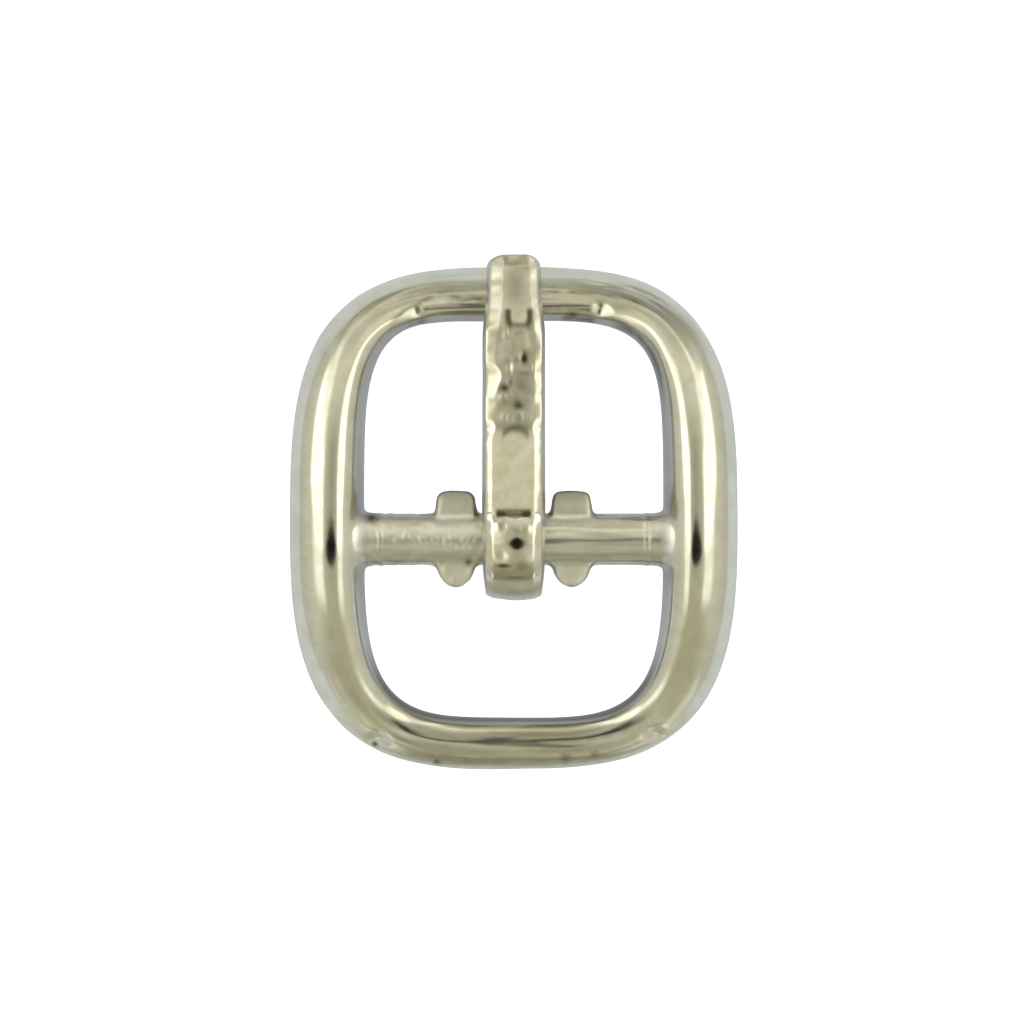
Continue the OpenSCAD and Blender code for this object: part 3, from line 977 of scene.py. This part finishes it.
world = bpy.data.worlds.new("studio")
bpy.context.scene.world = world
world.use_nodes = True
tree = world.node_tree
direction = add_node(tree, "ShaderNodeTexCoord").outputs["Generated"]
part = add_node(tree, "ShaderNodeSeparateXYZ", {"Vector": direction}).outputs
lens_axis = (0, -math.sin(lens_tilt), math.cos(lens_tilt))
lens_cos = add_node(tree, "ShaderNodeVectorMath", {0: direction, 1: lens_axis}, operation="DOT_PRODUCT")
value = {"x": part["X"], "y": part["Y"], "z": part["Z"], "lens_cos": lens_cos.outputs["Value"]}
sums = [
    # name, operation, inputs
    ("tilt", "ARCCOSINE", "z"),
    ("tilt_share", "MULTIPLY", "tilt", 2 / math.pi),
    ("sideways", "ABSOLUTE", "x"),
    ("heading", "ARCTAN2", "sideways", "y"),
    ("plane_x", "DIVIDE", "sideways", "z"),
    ("plane_y", "DIVIDE", "y", "z"),
    ("near_y", "MAXIMUM", "plane_y", lamp_bend_y),
    ("near_edge", "MULTIPLY_ADD", "near_y", -near_slant, "plane_x"),
    ("far_y", "MINIMUM", "plane_y", lamp_bend_y),
    ("far_edge", "MULTIPLY_ADD", "far_y", -far_slant, "plane_x"),
    ("band_x", "MULTIPLY_ADD", "plane_y", -band_slant, "plane_x"),
    ("band_middle", "ADD", "band_x", band_shift),
    ("from_band", "ABSOLUTE", "band_middle"),
    ("low_rise", "SUBTRACT", "tilt", low_tilt),
    ("low_u", "DIVIDE", "low_rise", low_half_tilt),
    ("low_turn", "SUBTRACT", "heading", low_heading),
    ("low_v", "DIVIDE", "low_turn", low_half_heading),
    ("from_lens", "ARCCOSINE", "lens_cos"),
]
for name, operation, *inputs in sums:
    sockets = {i: value.get(term, term) for i, term in enumerate(inputs)}
    value[name] = add_node(tree, "ShaderNodeMath", sockets, operation=operation).outputs[0]
low_place = add_node(tree, "ShaderNodeCombineXYZ", {"X": value["low_u"], "Y": value["low_v"]}).outputs[0]
from_low_lamp = add_node(tree, "ShaderNodeVectorMath", {0: low_place}, operation="LENGTH")
value["from_low_lamp"] = from_low_lamp.outputs["Value"]
print("values of the direction:", len(value))

# %% [markdown]
# The room has three walls: beyond the tip, at the sides and beyond the heel. Each is a colour ramp from
# straight above (0) down to the table's level (90 degrees), lighter or darker as the rails mirror it.
# %% The walls of the room
walls = {
    "tip": [(0, "#b4b4a6"), (18, "#aeae9e"), (28, "#dedccc"), (38, "#f2f0e0"), (48, "#dedac8"),
            (62, "#c4c0aa"), (72, "#9e9c84"), (84, "#86846c"), (90, "#807e68")],
    "side": [(0, "#b4b4a6"), (18, "#c8c6b8"), (34, "#deded0"), (56, "#e0e0d4"), (74, "#d4d4cb"),
             (90, "#ceced0")],
    "heel": [(0, "#b4b4a6"), (20, "#c0beac"), (36, "#c4c2b0"), (52, "#c0bea8"), (64, "#b2b09a"),
             (76, "#a2a08a"), (90, "#94927c")]}
wall_colour = {}
for name, stops in walls.items():
    ramp = add_node(tree, "ShaderNodeValToRGB", {"Fac": value["tilt_share"]})
    for degrees, colour in stops[1:-1]:
        ramp.color_ramp.elements.new(degrees / 90)
    for element, (degrees, colour) in zip(ramp.color_ramp.elements, stops):
        element.position = degrees / 90
        element.color = linear(colour)
    wall_colour[name] = ramp.outputs["Color"]
print("walls:", *wall_colour)

# %% [markdown]
# The lights are soft. Two large lamps with slanted edges hang at the sides and a little towards the tip,
# each in a weaker glow that reaches towards the heel. A narrow band shines halfway up beyond the tip, and
# a small low lamp stands beyond the heel at each side. The lens is a dark round spot above, because the
# camera looks straight down. Each edge is a Map Range node with a smooth step, from where it begins to
# where it is full. A light is the product of its edges, and the layers are laid over each other in order,
# the lens last.
# %% Lamps and lens
edges = {
    # name: value, where it begins, where it is full
    "beside the tip": ("heading", math.radians(8), math.radians(40)),
    "near the heel": ("heading", math.radians(138), math.radians(170)),
    "glow near": ("plane_x", 0.26, 0.36),
    "glow far": ("plane_x", 1.0, 0.6),
    "glow heel": ("plane_y", -1.15, -0.65),
    "lamp near": ("near_edge", -0.01, 0.09),
    "lamp far": ("far_edge", 0.78, 0.5),
    "lamp heel": ("plane_y", -0.22, -0.1),
    "lamp tip": ("plane_y", 1.35, 1.05),
    "band side": ("from_band", 0.11, 0.05),
    "band start": ("plane_y", 0.92, 1.02),
    "band end": ("plane_y", 1.6, 1.3),
    "low lamp": ("from_low_lamp", 1.2, 0.8),
    "lens": ("from_lens", 1.15 * lens_radius, 0.85 * lens_radius),
}
layers = [
    # colour, edges
    (wall_colour["side"], "beside the tip"),
    (wall_colour["heel"], "near the heel"),
    ((1.35, 1.35, 1.24, 1.0), "glow near", "glow far", "glow heel"),
    ((1.9, 1.9, 1.72, 1.0), "lamp near", "lamp far", "lamp heel", "lamp tip"),
    ((1.4, 1.4, 1.27, 1.0), "band side", "band start", "band end"),
    ((1.3, 1.3, 1.2, 1.0), "low lamp"),
    (linear("#0c0c08"), "lens"),
]
soft = {
    name: add_node(tree, "ShaderNodeMapRange", {
        "Value": value[term], "From Min": begins, "From Max": full},
        interpolation_type="SMOOTHSTEP").outputs[0]
    for name, (term, begins, full) in edges.items()}
seen = wall_colour["tip"]
for colour, *names in layers:
    share = soft[names[0]]
    for name in names[1:]:
        share = add_node(tree, "ShaderNodeMath", {0: share, 1: soft[name]}, operation="MULTIPLY").outputs[0]
    seen = add_node(tree, "ShaderNodeMix", {0: share, 6: seen, 7: colour}, data_type="RGBA").outputs[2]
background = tree.nodes["Background"]
background.inputs["Strength"].default_value = 1.0
tree.links.new(seen, background.inputs["Color"])
print("studio nodes:", len(tree.nodes))

# %% [markdown]
# The buckle is seen from straight above. A camera without a turn looks straight down, so it only has to
# be lifted. Its focal length follows from the height and from how wide the view is at the buckle's
# middle height.
# %% Camera
camera_height = 163
buckle_height = 3
view_w = 45.56
sensor_w = 36
camera_x, camera_y = 0.1, -0.1

camera_data = bpy.data.cameras.new("camera")
camera_data.sensor_width = sensor_w
camera_data.lens = sensor_w * (camera_height - buckle_height) / view_w
camera_data.clip_start = 10 * MM
camera = bpy.data.objects.new("camera", camera_data)
camera.location = (camera_x * MM, camera_y * MM, camera_height * MM)
bpy.context.scene.collection.objects.link(camera)
bpy.context.scene.camera = camera
bpy.context.scene.view_settings.view_transform = "Standard"
print("focal length:", round(camera_data.lens, 1), "mm")
